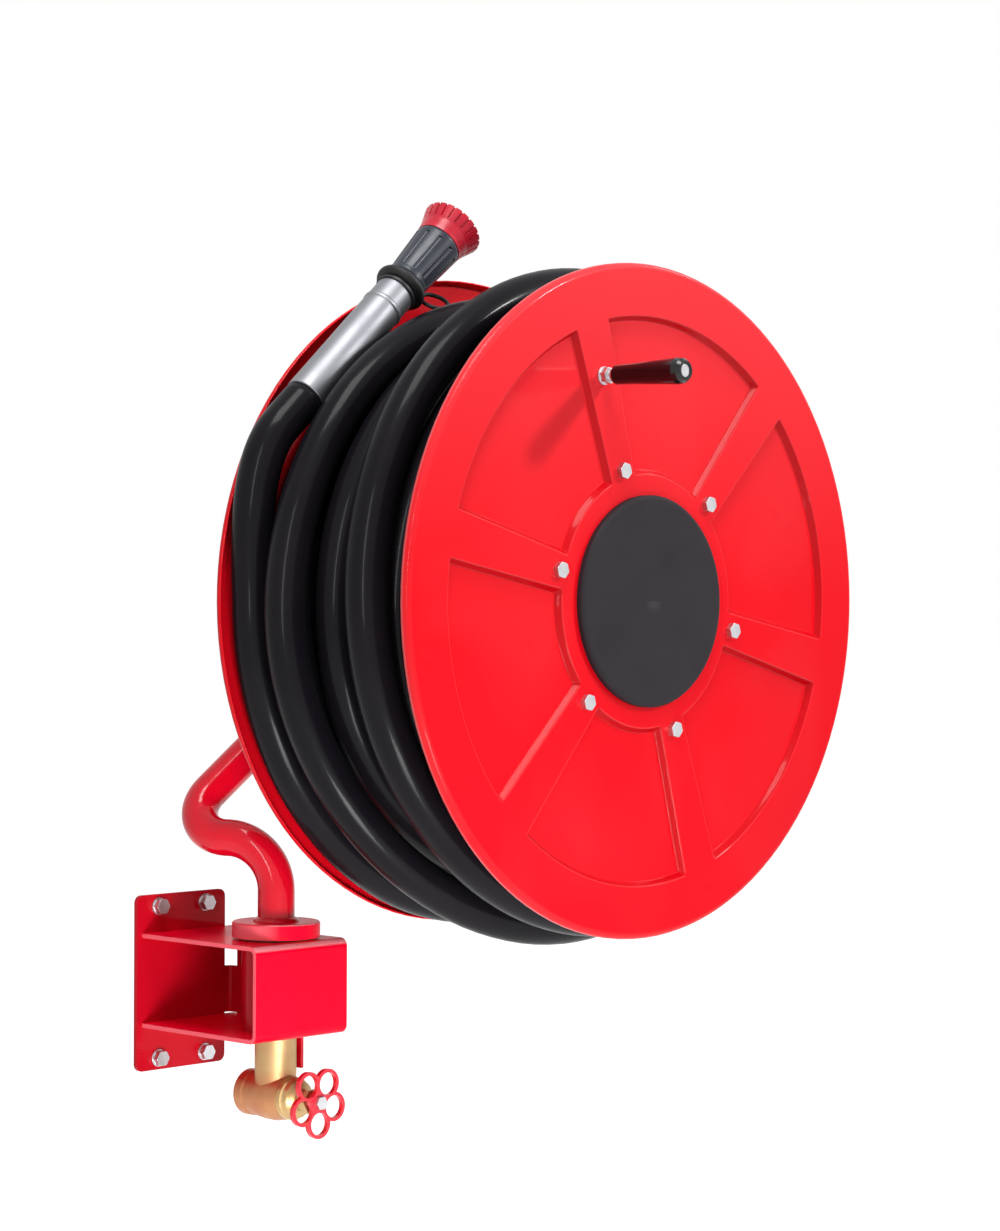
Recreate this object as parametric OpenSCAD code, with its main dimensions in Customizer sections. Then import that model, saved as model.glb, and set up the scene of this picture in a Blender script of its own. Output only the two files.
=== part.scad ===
// Wall-mounted swinging fire hose reel: drum, wound hose, nozzle, swing arm, bracket and stop valve.
// Millimetres. Origin at the centre of the wall plate's back face; +X along the wall, +Y into the
// wall, +Z up. The drum's own frame is (u, v, n): u = +X, v = +Z, n = -Y from the rear rim plane.

/* [Drum discs] */
// Radius of both pressed discs
disc_r = 300; // [250:1:350]
// Distance between the two rim planes
drum_w = 240; // [150:1:320]
// Steel sheet thickness of the discs
sheet = 1.6; // [1:0.1:3]
// Depth of the six pressed panels
pan_d = 6; // [3:0.5:9]
// Inner radius of the panels
pan_in = 113; // [100:1:130]
// Width of the flat rim outside the panels
rim_w = 47; // [30:1:70]
// Run of the slanted panel wall over its depth
pan_slope = 4; // [1:0.5:8]
// Half width of a rib at its root
rib_in = 15; // [10:0.5:20]
// Half width of a rib at the rim
rib_out = 20.8; // [12:0.1:26]
// Bend radius of the curled rim
curl_r = 6; // [4:0.5:10]
// Angle of the rib that carries the crank handle
rib_phase = 107.2; // [0:0.1:360]
// Radius of the bolt circle
bolt_r = 120; // [100:1:135]

/* [Hub] */
// Radius of the hub body
hub_r = 34; // [28:0.5:45]
// Radius of the spindle that the drum turns on
spindle_r = 20; // [15:0.5:26]
// Radial running clearance of the turning fits
run = 0.05; // [0.02:0.01:0.1]
// Radius of the black centre cover
cap_r = 94.2; // [70:0.1:105]

/* [Hose] */
// Outer radius of the hose
hose_r = 18.5; // [12:0.5:22]
// How far the outer turns' centre line lies inside the rims
rim_in = 18; // [14:0.5:30]
// How far the under layer lies inside the outer turns
layer = 38.5; // [38:0.1:46]
// How far the slack turn hangs lower at the bottom
sag = 12.5; // [0:0.5:20]
// Step of the under layer along the drum
under_pitch = 40.75; // [38:0.05:60]
// Rings per turn of the hose
rings = 24; // [12:2:36]
// Sides of the hose
sides = 6; // [6:1:12]
// Play between the under layer and the plain core that stands for the inner layers
core_gap = 2.6; // [1:0.1:20]

/* [Nozzle] */
// Direction of the nozzle above the horizontal
noz_ang = 42; // [20:0.5:70]
// How far the nozzle's axis lies inside the rims
noz_in = 17; // [12:1:30]
// Height of the nozzle's axis above the rear rim plane
noz_n = 34; // [25:0.5:60]
// Length of the aluminium branch pipe
tube_len = 149; // [80:1:200]
// Outer radius of the branch pipe
tube_r = 18.8; // [12:0.1:22]
// Lands round the grip
lands = 10; // [6:1:16]
// Teeth round the spray head
teeth = 22; // [8:1:30]

/* [Crank handle] */
// Radius at which the handle stands
crank_r = 206; // [150:1:240]
// Length of the grip
grip_len = 79; // [60:1:110]
// Grip radius at the disc
grip_r0 = 8.5; // [7:0.1:12]
// Grip radius at the free end
grip_r1 = 11.6; // [8:0.1:16]

/* [Swing arm] */
// Outer radius of the pipe
pipe_r = 16.85; // [12:0.05:24]
// Bore radius of the pipe
bore_r = 13.6; // [8:0.1:20]
// Distance of the arm's lower corner from the wall
arm_y = 22; // [20:0.5:60]
// Bend radius over the pivot
bend1 = 47; // [40:0.5:80]
// Bend radius of the lower corner
bend2 = 34.5; // [28:0.5:60]
// Bend radius behind the hub
bend3 = 40; // [35:0.5:60]
// Flange radius on top of the bracket
flange_r = 40; // [30:0.5:50]

/* [Bracket] */
// Width of the wall plate
plate_w = 107; // [80:1:160]
// Height of the wall plate
plate_h = 162; // [120:1:240]
// Thickness of the folded steel
steel = 4; // [3:0.5:6]
// Distance of the box front from the wall
box_d = 160; // [120:1:220]
// Left side of the box
box_x0 = -47; // [-80:1:-30]
// Right side of the box
box_x1 = 64; // [40:1:90]
// Underside of the box
box_z0 = -40.5; // [-60:0.5:-20]
// Top of the box
box_z1 = 46; // [20:0.5:60]
// Outer bend radius of the folds
fold_r = 8; // [5:0.5:12]
// Horizontal spacing of the wall bolts
bolt_dx = 56; // [30:1:90]
// Vertical spacing of the wall bolts
bolt_dz = 140; // [80:1:200]

/* [Valve] */
// Height of the valve's axis
valve_z = -96.5; // [-110:1:-80]
// Distance of the inlet face from the wall
inlet_y = 83; // [60:1:100]
// Distance of the handwheel's middle from the wall
wheel_y = 174; // [165:1:190]
// Radius of the circle of the handwheel's lobes
lobe_c = 19.3; // [14:0.1:24]
// Outer radius of one lobe
lobe_r = 13.3; // [9:0.1:16]
// Pipe thread radius of the inlet
port_r = 15.2; // [9:0.1:20]

/* [Hidden] */
$fn = 0; $fa = 12; $fs = 2;
e = 0.02;
hub_x = 203;  hub_z = 353.4;     // drum axis
rear_y = 159;                    // rear rim plane from the wall: a turning nozzle passes the box
piv_x = 15;   piv_y = 118;       // arm pivot
run_x = -34;  run_z = 136.2;     // lower corner of the arm, at the end of its level run
out_n = 30;                      // outlet pipe above the rear rim plane
pan_out = disc_r - rim_w;        // outer radius of the panels
outer_r = disc_r - rim_in;       // centre line of the outer turns
under_r = outer_r - layer;       // centre line of the under layer
core_r = under_r - hose_r - core_gap;
noz_d = disc_r - noz_in;         // nozzle's axis from the drum's axis
elbow_u = under_r - 38.5;        // outlet elbow's downward leg, from the drum axis
red = [0.90, 0.06, 0.09]; black = [0.07, 0.07, 0.08]; steel_c = [0.78, 0.79, 0.80];
brass = [0.80, 0.62, 0.32]; alu = [0.86, 0.87, 0.88];

module hub() translate([hub_x, -rear_y, hub_z]) rotate([90, 0, 0]) children();
module pivot() translate([piv_x, -piv_y, 0]) children();
module six() for (k = [0:5]) rotate(rib_phase - 60*k) children();
module ring(ro, ri, h) difference() { cylinder(r = ro, h = h); translate([0, 0, -1]) cylinder(r = ri, h = h + 2); }
module hex(af, h) cylinder(r = af/2/cos(30), h = h, $fn = 6);
module rod(p, d, r, h) translate(p) rotate(d) cylinder(r = r, h = h);

// ---------- pressed discs ----------
// one rib as a wedge that tapers in width and widens towards the panel floor; g narrows it
module rib_wedge(g) {
  function w(r, z) = rib_in + (rib_out - rib_in)*(r - 110)/140 - pan_slope*z/pan_d - g;
  z0 = -pan_d - 3; z1 = 2; a = 80; b = 280;
  polyhedron([[a, -w(a, z0), z0], [b, -w(b, z0), z0], [b, w(b, z0), z0], [a, w(a, z0), z0],
              [a, -w(a, z1), z1], [b, -w(b, z1), z1], [b, w(b, z1), z1], [a, w(a, z1), z1]],
    [[0, 1, 2, 3], [4, 7, 6, 5], [0, 4, 5, 1], [1, 5, 6, 2], [2, 6, 7, 3], [3, 7, 4, 0]]);
}
module pan_outside() difference() {
  rotate_extrude() polygon([[pan_in - sheet, 0], [pan_in - sheet, -sheet],
    [pan_in + pan_slope - sheet, -pan_d - sheet], [pan_out - pan_slope + sheet, -pan_d - sheet],
    [pan_out + sheet, -sheet], [pan_out + sheet, 0]]);
  six() rib_wedge(sheet);
}
module pan_inside() difference() {
  rotate_extrude() polygon([[pan_in, 1], [pan_in, 0], [pan_in + pan_slope, -pan_d],
    [pan_out - pan_slope, -pan_d], [pan_out, 0], [pan_out, 1]]);
  six() rib_wedge(0);
}
// flat ring whose outer edge curls back round curl_r and ends in a short lip
lip_h = curl_r + 2.4;
module rim_area(hole, g) {                   // g = 0: outside of the curl, g = sheet: inside
  low = -lip_h - (g > 0 ? 1 : 0); left = hole - (g > 0 ? 1 : 0);
  translate([left, low]) square([disc_r - curl_r - left, -g - low]);
  translate([left, low]) square([disc_r - g - left, -curl_r - low]);
  difference() {
    translate([disc_r - curl_r, -curl_r]) circle(r = curl_r - g);
    translate([disc_r - 3*curl_r, low - 3*curl_r]) square([4*curl_r, 3*curl_r]);
  }
}
module flat_and_curl(hole) rotate_extrude() difference() { rim_area(hole, 0); rim_area(hole, sheet); }
module pressed_disc(hole) difference() {
  union() { flat_and_curl(hole); pan_outside(); }
  pan_inside();
  six() translate([bolt_r, 0, -20]) cylinder(r = 4.2, h = 40);
}

module rear_disc() color(red) hub() mirror([0, 0, 1]) pressed_disc(hub_r + 0.4);
module front_disc() color(red) hub() translate([0, 0, drum_w]) difference() {
  pressed_disc(62);
  rotate(rib_phase) translate([crank_r, 0, -20]) cylinder(r = 4.2, h = 40);
}

// ---------- drum ----------
module hub_body() color(steel_c) hub() difference() {
  union() {
    translate([0, 0, -27]) cylinder(r = hub_r, h = 87);
    translate([0, 0, sheet]) cylinder(r = 80, h = 6);
    rod([0, 0, out_n], [0, 90, 0], 19, 46);
  }
  translate([0, 0, -28]) cylinder(r = spindle_r + run, h = 60);
  translate([0, 0, 14]) cylinder(r = 27, h = 36);
  rod([0, 0, out_n], [0, 90, 0], 13.5, 60);
}
module spacer_tubes() color(steel_c) hub() six()
  translate([bolt_r, 0, sheet]) ring(10, 4.6, drum_w - 2*sheet);
module tie_bolts() color(steel_c) hub() six() translate([bolt_r, 0, 0]) {
  translate([0, 0, -11]) cylinder(r = 4, h = drum_w + 11);
  translate([0, 0, drum_w]) intersection() { hex(13, 5.3); cylinder(r1 = 9.6, r2 = 6.6, h = 6.4); }
}
module tie_nuts() color(steel_c) hub() six() translate([bolt_r, 0, -6.5])
  difference() { hex(13, 6.5); translate([0, 0, -1]) cylinder(r = 4, h = 9); }
module hub_cap() color(black) hub() translate([0, 0, drum_w]) rotate_extrude() polygon([
  [0, 4.7], [60, 4.1], [60, 0.5], [59, 0.5], [59, -5], [61.5, -5], [63.4, -3.2], [61.8, -1.7], [61.8, 4],
  [91.8, 3.8], [91.8, 0], [cap_r, 0], [cap_r, 4.4], [cap_r - 1.2, 6], [cap_r - 4, 6.5], [0, 7.2]]);
module outlet_elbow() color(steel_c) hub() translate([0, 0, out_n]) difference() {
  union() {
    rod([30, 0, 0], [0, 90, 0], 13.5, elbow_u - 60);
    translate([elbow_u - 30, -30, 0]) rotate_extrude(angle = 90) translate([30, 0]) circle(r = 13.5);
    rod([elbow_u, -66, 0], [-90, 0, 0], 13.5, 36);
  }
  rod([29, 0, 0], [0, 90, 0], 10, elbow_u - 59);
  translate([elbow_u - 30, -30, 0]) rotate_extrude(angle = 90) translate([30, 0]) circle(r = 10);
  rod([elbow_u, -67, 0], [-90, 0, 0], 10, 37);
}
module hose_ferrule() color(steel_c) hub() translate([elbow_u, -70, out_n]) rotate([-90, 0, 0])
  rotate_extrude() polygon([[10, 0], [19, 0], [19, 34], [13.5, 34], [13.5, 4], [10, 4]]);
module core_blank() translate([0, 0, 8]) ring(core_r, bolt_r + 10.3, drum_w - 17.3);
module hose_core() color(black) hub() difference() {
  core_blank();
  rod([100, 0, out_n], [0, 90, 0], 14, elbow_u - 80);
  translate([0, 0, 7]) linear_extrude(45)
    polygon([[elbow_u - 31, 26], [elbow_u - 31, -108], [elbow_u - 81, -200], [disc_r, -260], [disc_r, 26]]);
}

// ---------- wound hose ----------
// T counts turns from the inner end; the outer turns are T > 4.  T = 7 is level with the axis on
// the left, the last point that lies on the roll.
T0 = -10/24;                     // where the hose, straight down from its ferrule, meets the roll
NU = [30, 33.5, 37, 40.5, 43.6, 46.5, 47, 44.5, 38.5, 37, 38.5, 46.5, 59, 70.5, 78.5, 83, 87.8, 92.1,
  96.45, 99.61];                 // n at T = -6/12, -5/12 ... 13/12
N4 = [213, 213, 213, 197, 173, 163, 155, 137, 71, 71, 62, 35, 22, 20];  // n at T = 4, 4.25 ... 7.25
R4 = [0, 0, 0, 0, 0, 0, 0, sag, -2, -21, 0, 0, -8, -8];                  // added to the outer radius
// smooth curve through a table that never overshoots its points
function mean_slope(a, b) = a*b <= 0 ? 0 : 2*a*b/(a + b);
function tab(v, T, start, step) = let (q = (T - start)*step, m = len(v) - 1, i = min(floor(q), m - 1), t = q - i,
    a = v[i] - v[max(i - 1, 0)], b = v[i + 1] - v[i], c = v[min(i + 2, m)] - v[i + 1])
  (2*t*t*t - 3*t*t + 1)*v[i] + (t*t*t - 2*t*t + t)*mean_slope(a, b)
  + (3*t*t - 2*t*t*t)*v[i + 1] + (t*t*t - t*t)*mean_slope(b, c);
function hn(T) = T < T0 + 0.02 ? out_n : T < 1 ? tab(NU, T, -0.5, 12)
  : T < 3 ? 213 - under_pitch - 37.9*(3 - T) : T < 4 ? 213 - under_pitch*(4 - T) : tab(N4, T, 4, 4);
function hr(T) = T < T0 + 0.02 ? elbow_u/cos(30)
  : T < 3.9 ? under_r
  : T < 4.7 ? under_r + (outer_r - under_r)*sin(90*(T - 3.9)/0.8)
  : outer_r + tab(R4, T, 4, 4);
function roll(T) = let (a = 900 + 360*(5 - T)) [hr(T)*cos(a), hr(T)*sin(a), hn(T)];
nd = [cos(noz_ang), sin(noz_ang), 0];
foot = noz_d*[-sin(noz_ang), cos(noz_ang), 0] + [0, 0, noz_n];
low = foot - 48*nd;              // lower end of the branch pipe
str = low - (2*hose_r + 1)*nd;   // start of the straight end
function herm(p, m, q, w, t) = (2*t*t*t - 3*t*t + 1)*p + (t*t*t - 2*t*t + t)*m
  + (-2*t*t*t + 3*t*t)*q + (t*t*t - t*t)*w;
path = concat([[elbow_u, -70, out_n]],
  [for (i = [0:round((7 - T0)*rings) - 1]) roll(T0 + (7 - T0)*i/round((7 - T0)*rings))],
  [for (t = [0:0.25:0.75]) herm(roll(7), [0, 150, -6], str, 150*nd, t)], [str, low]);
function unit(v) = v/norm(v);
np = len(path);
function tang(i) = i == 0 ? unit(path[1] - path[0]) : i == np - 1 ? unit(path[np - 1] - path[np - 2])
  : i == np - 2 ? unit(path[np - 1] - path[np - 2]) : i == 1 ? unit(path[1] - path[0])
  : unit(path[i + 1] - path[i - 1]);
// least gap of the tube to itself, on four points of each chord against every other chord
function seg_d(p, a, b) = let (d = b - a, t = max(0, min(1, ((p - a)*d)/(d*d)))) norm(p - a - t*d);
function self_gap() = min([for (i = [0:np - 2], s = [0:0.25:0.75]) let (p = path[i] + s*(path[i + 1] - path[i]))
  min([for (j = [0:np - 2]) if (abs(i - j) > 4) seg_d(p, path[j], path[j + 1])])]) - 2*hose_r;
module hose_winding() color(black) hub() {
  echo(least_gap_of_the_hose_to_itself = self_gap());
  pts = [for (i = [0:np - 1]) let (t = tang(i), b = unit(cross(t, [0, 0, 1])), c = cross(b, t))
    for (k = [0:sides - 1]) path[i] + hose_r*(cos(360*k/sides)*b + sin(360*k/sides)*c)];
  polyhedron(pts, concat(
    [for (i = [0:np - 2]) for (k = [0:sides - 1]) let (a = i*sides + k, b = i*sides + (k + 1)%sides)
      each [[a, b, b + sides], [a, b + sides, a + sides]]],
    [for (k = [1:sides - 2]) [0, k + 1, k]],
    [for (k = [1:sides - 2]) [(np - 1)*sides, (np - 1)*sides + k, (np - 1)*sides + k + 1]]));
}

// ---------- nozzle ----------
module noz(s) hub() translate(low + s*nd) rotate([0, 90, noz_ang]) children();
module branch_pipe() color(alu) noz(0) rotate_extrude() polygon([[13, 0], [tube_r - 1, 0], [tube_r, 1],
  [tube_r, 124], [tube_r + 0.8, 125.5], [tube_r + 0.8, 128], [tube_r - 0.2, 129.5],
  [tube_r - 0.2, tube_len], [12, tube_len], [12, 3], [13, 2]]);
module nozzle_collar() color(black) noz(tube_len) rotate_extrude() polygon([[12, 0], [20.2, 0],
  [20.2, 3], [19, 4], [19, 15], [12, 15]]);
module bumper_ring() color(black) noz(tube_len + 9.5) rotate_extrude() difference() {
  translate([19.2, 0]) circle(r = 5.4);
  translate([9, -10]) square([10, 20]);
}
module nozzle_body() color([0.22, 0.24, 0.27]) noz(tube_len + 15) difference() {
  rotate_extrude() polygon([[12, 0], [18.4, 0], [20, 1.6], [20, 5], [19.3, 6], [19.3, 7],
    [22.8, 56], [22.4, 58.5], [12, 58.5]]);
  for (k = [0:lands - 1]) rotate(360*k/lands) translate([20.9, 0, 8]) rotate([0, 4.09, 0])
    cylinder(r = 2.6, h = 44);
}
module nozzle_baffle() color([0.22, 0.24, 0.27]) noz(tube_len + 40) rotate_extrude() polygon([[0, 0],
  [12, 0], [12, 3], [4, 4], [4, 54], [9, 57], [9, 58.5], [0, 59.5]]);
module nozzle_head() color([0.80, 0.10, 0.12]) noz(tube_len + 73.8) difference() {
  rotate_extrude() polygon([[11.5, 0], [22.9, 0], [23.3, 3], [25, 11], [29.8, 25.2], [26.8, 25.2],
    [21, 14], [15, 13], [13, 8]]);
  for (k = [0:teeth - 1]) rotate(360*k/teeth) translate([24.2, -1, 13.6]) rotate([0, 18.7, 0]) cube([6, 2, 18]);
}
module tie_ring() color(black) hub() translate(low + (tube_len + 28.2)*nd
  + 31.3*[sin(noz_ang), -cos(noz_ang), 0] + [0, 0, 8.9]) rotate([0, 57.5, 99.1])
  rotate_extrude() translate([13.3, 0]) circle(r = 1.9);

// ---------- crank handle ----------
module crank() hub() rotate(rib_phase) translate([crank_r, 0, drum_w]) children();
module crank_pin() color(steel_c) crank() {
  translate([0, 0, -9]) cylinder(r = 4, h = 101);
  translate([0, 0, -6.6 - sheet]) hex(13, 6.6);
  cylinder(r = 8, h = 1.6);
  translate([0, 0, 1.6]) hex(13, 6.5);
  translate([0, 0, 12.6]) cylinder(r = 6.4, h = 2);
  translate([0, 0, 91.4]) cylinder(r = 5.6, h = 1.8);
}
module crank_grip() color(black) crank() translate([0, 0, 15]) rotate_extrude() polygon([[4 + run, 0],
  [grip_r0 - 1, 0], [grip_r0, 1], [grip_r0 + 0.5, 20], [grip_r1 - 0.5, 62], [grip_r1, 71],
  [grip_r1 - 0.8, 76], [grip_r1 - 3, grip_len], [6, grip_len], [6, 76], [4 + run, 76]]);

// ---------- swing arm ----------
c1 = [piv_x, -piv_y, run_z];                 // corner over the pivot
c2 = [run_x, -arm_y, run_z];                 // lower corner
c3 = [hub_x, 75 - rear_y, hub_z];            // corner behind the hub
d0 = [0, 0, 1]; d1 = unit(c2 - c1); d2 = unit(c3 - c2); d3 = [0, -1, 0];
function ang(a, b) = acos(a*b);
function cut(a, b, r) = r*tan(ang(a, b)/2);
function aside(a, b) = unit(b - (b*a)*a);    // the way b turns off a
// roll about heading h that brings the local x axis x0 onto the turning side t
function roll_of(h, x0, t) = atan2(t*cross(h, x0), t*x0);
x1 = [0, 0, -1];                             // local x after the first bend
t1 = aside(d1, d2);
x2 = cos(ang(d1, d2))*t1 - sin(ang(d1, d2))*d1;
t2 = aside(d2, d3);
// a bend from the origin's +Z towards +X; what follows starts in its end frame
module pipe_bend(R, a, r) {
  rotate([90, 0, 0]) translate([R, 0, 0]) rotate(180 - a) rotate_extrude(angle = a)
    translate([R, 0]) circle(r = r - thin);
  translate([R*(1 - cos(a)), 0, R*sin(a)]) rotate([0, a, 0]) children();
}
thin = 0.05;                                 // the drawn pipe is this much thinner in its bends
// a straight run that laps a little way into the bends before and after it
module run_then(l, r, before = 0.3) {
  translate([0, 0, -before]) cylinder(r = r, h = l + before + 0.3);
  translate([0, 0, l]) children();
}
flange_top = 62;
function over(r) = r < pipe_r ? 1 : 0;       // the bore runs out past both ends
module arm_line(r) translate([piv_x, -piv_y, flange_top])
  run_then(run_z - flange_top - bend1, r, over(r)) rotate(atan2(d1[1], d1[0]))
  pipe_bend(bend1, 90, r) run_then(norm(c2 - c1) - bend1 - cut(d1, d2, bend2), r)
  rotate(roll_of(d1, x1, t1)) pipe_bend(bend2, ang(d1, d2), r)
  run_then(norm(c3 - c2) - cut(d1, d2, bend2) - cut(d2, d3, bend3), r)
  rotate(roll_of(d2, x2, t2)) pipe_bend(bend3, ang(d2, d3), r) run_then(39.7 - cut(d2, d3, bend3) + over(r), r);
module swing_pipe() color(red) difference() { arm_line(pipe_r); arm_line(bore_r); }
module thrust_flange() color(red) pivot() translate([0, 0, box_z1 + 2]) difference() {
  rotate_extrude() polygon([[spindle_r, 0], [flange_r, 0], [flange_r, 12.8], [flange_r - 1.2, 14],
    [spindle_r, 14]]);
}
module flange_washer() color(brass) pivot() translate([0, 0, box_z1]) ring(34, spindle_r + 0.3, 1.95);
module arm_spindle() color(steel_c) pivot() difference() {
  translate([0, 0, -16]) cylinder(r = spindle_r, h = flange_top + 16);
  translate([0, 0, -17]) cylinder(r = bore_r, h = 100);
  for (z = [-12.6, -2]) translate([0, 0, z]) ring(spindle_r + 1, spindle_r - (z < -5 ? 1.6 : 2.6), z < -5 ? 2 : 4);
}
module arm_circlip() color(steel_c) pivot() translate([0, 0, -12.55]) ring(23.4, spindle_r - 1.6, 1.9);
module arm_seal() color(black) pivot() translate([0, 0, -1.9]) rotate_extrude()
  translate([spindle_r - 2.6, 0]) square([2.6, 3.8]);
module hub_spindle() color(steel_c) hub() difference() {
  union() {
    translate([0, 0, -35]) cylinder(r = spindle_r, h = 54);
    translate([0, 0, -35]) cylinder(r = 28, h = 6);
  }
  translate([0, 0, -36]) cylinder(r = bore_r, h = 60);
  translate([0, 0, 14.1]) ring(spindle_r + 1, spindle_r - 1.6, 2);
  translate([0, 0, 4]) ring(spindle_r + 1, spindle_r - 2.6, 4);
}
module hub_seal() color(black) hub() translate([0, 0, 4.1]) ring(spindle_r, spindle_r - 2.6, 3.8);
module hub_circlip() color(steel_c) hub() translate([0, 0, 14.15]) ring(24, spindle_r - 1.6, 1.9);
module hub_washer() color(brass) hub() translate([0, 0, -29]) ring(32, spindle_r + 0.3, 1.95);

// ---------- bracket ----------
box_w = box_x1 - box_x0;
notch_lo = 5; notch_hi = 38;     // the side plate is cut back at the fold below and above
module wall_plate() color(red) difference() {
  union() {
    // plate with rounded corners
    translate([0, 0, 0]) rotate([90, 0, 0]) linear_extrude(steel) union() {
      square([plate_w - 14, plate_h], center = true);
      square([plate_w, plate_h - 14], center = true);
      for (sx = [-1, 1], sz = [-1, 1]) translate([sx*(plate_w/2 - 7), sz*(plate_h/2 - 7)]) circle(r = 7);
    }
    // fold to the closed right side of the box
    translate([box_x1 - fold_r, -fold_r, box_z0 + notch_lo]) rotate([0, 0, 0]) difference() {
      cylinder(r = fold_r, h = box_z1 - box_z0 - notch_lo - notch_hi);
      translate([0, 0, -1]) cylinder(r = fold_r - steel, h = 100);
      translate([-20, -20, -1]) cube([20, 40, 100]);
      translate([-20, -20, -1]) cube([40, 20, 100]);
    }
    translate([plate_w/2 - e, -steel, box_z0 + notch_lo])
      cube([box_x1 - fold_r - plate_w/2 + 2*e, steel, box_z1 - box_z0 - notch_lo - notch_hi]);
    translate([box_x1 - steel, -box_d + fold_r, box_z0 + steel]) cube([steel, box_d - fold_r - 14, box_z1 - box_z0 - 2*steel]);
    translate([box_x1 - steel, -14 - e, box_z0 + notch_lo]) cube([steel, 14 - fold_r + 2*e, box_z1 - box_z0 - notch_lo - notch_hi]);
  }
  for (x = [-1, 1], z = [-1, 1]) translate([x*bolt_dx/2, 1, z*bolt_dz/2]) rotate([90, 0, 0]) cylinder(r = 5.3, h = 8);
}
module channel_2d() difference() {           // section in (y, z) seen from the side
  union() {
    translate([-box_d + fold_r, box_z0]) square([box_d - fold_r - steel, box_z1 - box_z0]);
    translate([-box_d, box_z0 + fold_r]) square([fold_r + e, box_z1 - box_z0 - 2*fold_r]);
    for (z = [box_z0 + fold_r, box_z1 - fold_r]) translate([-box_d + fold_r, z]) circle(r = fold_r);
  }
  translate([-box_d + fold_r, box_z0 + steel]) square([box_d, box_z1 - box_z0 - 2*steel]);
  translate([-box_d + steel, box_z0 + fold_r]) square([fold_r, box_z1 - box_z0 - 2*fold_r]);
  for (z = [box_z0 + fold_r, box_z1 - fold_r]) translate([-box_d + fold_r, z]) circle(r = fold_r - steel);
}
module bracket_channel() color(red) difference() {
  // the section runs across the box; the right side plate stands inside its end
  translate([box_x0, 0, 0]) rotate([90, 0, 90]) linear_extrude(box_w) channel_2d();
  translate([box_x1 - steel, -box_d + fold_r, box_z0 + steel]) cube([steel + 1, box_d, box_z1 - box_z0 - 2*steel]);
  pivot() translate([0, 0, box_z0 - 1]) cylinder(r = 24, h = 100);
}
module wall_bolts() color(steel_c) for (x = [-1, 1], z = [-1, 1])
  translate([x*bolt_dx/2, 0, z*bolt_dz/2]) rotate([90, 0, 0]) {
    translate([0, 0, -20]) cylinder(r = 4, h = 20 + steel);
    translate([0, 0, steel]) cylinder(r = 8, h = 1.6);
    translate([0, 0, steel + 1.6]) intersection() { hex(13, 6.5); cylinder(r1 = 9.9, r2 = 6.7, h = 7.6); }
  }
module neck_strap() color(red) translate([piv_x + 19.4, -piv_y - 13, box_z0 - 32]) cube([3, 26, 32]);

// ---------- swivel and valve ----------
module swivel_housing() color(brass) pivot() difference() {
  union() {
    translate([0, 0, box_z0 + steel]) cylinder(r = 31, h = box_z1 - box_z0 - 2*steel);
    translate([0, 0, box_z0]) cylinder(r = 24, h = box_z1 - box_z0);
  }
  translate([0, 0, -10]) cylinder(r = spindle_r + run, h = 100);
  translate([0, 0, -26]) cylinder(r = 26, h = 16);
  translate([0, 0, box_z0 - 1]) cylinder(r = 16.6, h = 30);
}
module vax(y) translate([piv_x, -y, valve_z]) rotate([90, 0, 0]) children();   // +Z to the room
module valve_body() color(brass) difference() {
  union() {
    pivot() translate([0, 0, valve_z + 5]) cylinder(r = 19, h = box_z0 - valve_z - 5);
    pivot() translate([0, 0, box_z0 - 1]) cylinder(r = 16.5, h = 11);
    vax(inlet_y) rotate_extrude() polygon([[0, 0], [20, 0], [21, 1], [21, 10], [20.2, 12], [22, 30],
      [22, 42], [19.5, 55], [0, 55]]);
  }
  vax(inlet_y - 1) cylinder(r = port_r, h = 19);
  vax(inlet_y) cylinder(r = 10.5, h = 40);
  vax(inlet_y + 22) cylinder(r = 15.6, h = 40);
  pivot() translate([0, 0, valve_z]) cylinder(r = 12, h = 100);
}
module valve_bonnet() color(brass) vax(inlet_y + 55) difference() {
  rotate_extrude() polygon([[4.05, 12], [15.6, 10], [15.6, 0], [18.6, 0], [19.4, 0.8], [19.4, 6], [18, 7.5],
    [16.8, 12], [12, 15], [10, 16], [10, 26], [8.5, 26], [8.5, 18], [4.05, 18]]);
}
module gland_nut() color(brass) vax(inlet_y + 55) translate([0, 0, 26]) difference() {
  union() { hex(21, 4.5); translate([0, 0, -6]) cylinder(r = 8.45, h = 6); }
  translate([0, 0, -7]) cylinder(r = 4.05, h = 20);
}
module valve_stem() color(brass) vax(123) difference() { cylinder(r = 4, h = wheel_y - 123 + 3); }
module wheel_area() difference() {
  union() {
    for (k = [0:4]) rotate(127.5 - 72*k) translate([lobe_c, 0]) circle(r = lobe_r);
    circle(r = lobe_c - 4);
  }
  for (k = [0:4]) rotate(127.5 - 72*k) translate([lobe_c, 0]) circle(r = lobe_r - 3.2);
}
module handwheel() color([0.82, 0.08, 0.11]) vax(wheel_y - 2.2) difference() {
  union() {
    linear_extrude(4.4) wheel_area();
    translate([0, 0, -3]) cylinder(r = 8, h = 5);
  }
  translate([0, 0, -4]) cylinder(r = 4, h = 20);
}
module wheel_nut() color(steel_c) vax(wheel_y + 2.2) difference() { hex(11, 4.5); translate([0, 0, -1]) cylinder(r = 4, h = 3); }
module valve_disc() color(brass) vax(0) translate([0, 0, inlet_y + 22.1]) difference() {
  union() { cylinder(r = 14.6, h = 5); cylinder(r = 9, h = 22); }
  translate([0, 0, 4]) cylinder(r = 4.4, h = 30);
}

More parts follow.
